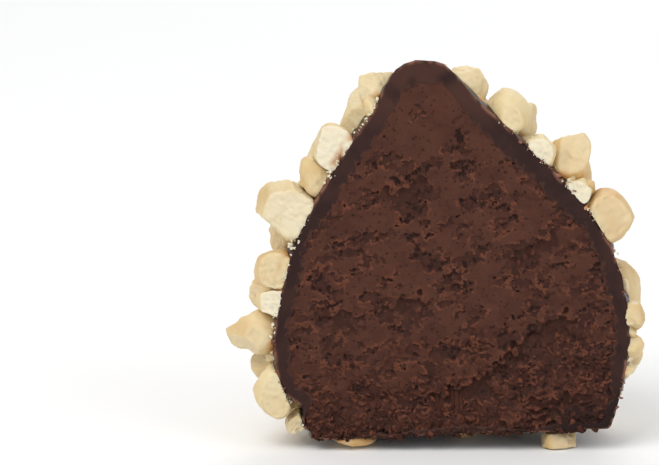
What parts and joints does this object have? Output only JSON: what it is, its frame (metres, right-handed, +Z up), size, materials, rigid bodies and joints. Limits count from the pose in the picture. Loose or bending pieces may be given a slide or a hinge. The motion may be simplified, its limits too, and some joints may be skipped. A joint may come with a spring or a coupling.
{
  "type": "chocolate truffle",
  "caption": "Nut-rolled chocolate truffle cut in half: a dark chocolate shell round a soft ganache filling, the outside covered in chopped nuts.",
  "frame": {"origin": "middle of the part's box, on the surface it stands on", "axes": "+Z up towards the peak; the knife's cut faces -Y; +X to the right, seen from in front of the cut"},
  "size_m": [0.042, 0.0204, 0.0388],
  "materials": {
    "dark_chocolate": "glossy dark chocolate, satin where it is cut",
    "ganache": "matt, open-textured chocolate ganache",
    "nut": "satin, pale blanched and roasted nut"
  },
  "bodies": {
    "root": {"chocolate_shell": "dark_chocolate", "ganache_filling": "ganache", "nut_01": "nut", "nut_02": "nut", "nut_03": "nut", "nut_04": "nut", "nut_05": "nut", "nut_06": "nut", "nut_07": "nut", "nut_08": "nut", "nut_09": "nut", "nut_10": "nut", "nut_11": "nut", "nut_12": "nut", "nut_13": "nut", "nut_14": "nut", "nut_15": "nut", "nut_16": "nut", "nut_17": "nut", "nut_18": "nut", "nut_19": "nut", "nut_20": "nut", "nut_21": "nut", "nut_22": "nut", "nut_23": "nut", "nut_24": "nut", "nut_25": "nut", "nut_26": "nut", "nut_27": "nut", "nut_28": "nut", "nut_29": "nut", "nut_30": "nut", "nut_31": "nut", "nut_32": "nut", "nut_33": "nut", "nut_34": "nut", "nut_35": "nut", "nut_36": "nut", "nut_37": "nut", "nut_38": "nut", "nut_39": "nut", "nut_40": "nut", "nut_41": "nut", "nut_42": "nut", "nut_43": "nut", "nut_44": "nut", "nut_45": "nut", "nut_46": "nut", "nut_47": "nut", "nut_48": "nut", "nut_49": "nut", "nut_50": "nut", "nut_51": "nut", "nut_52": "nut", "nut_53": "nut", "nut_54": "nut", "nut_55": "nut", "nut_56": "nut", "nut_57": "nut", "nut_58": "nut"}
  },
  "joints": []
}
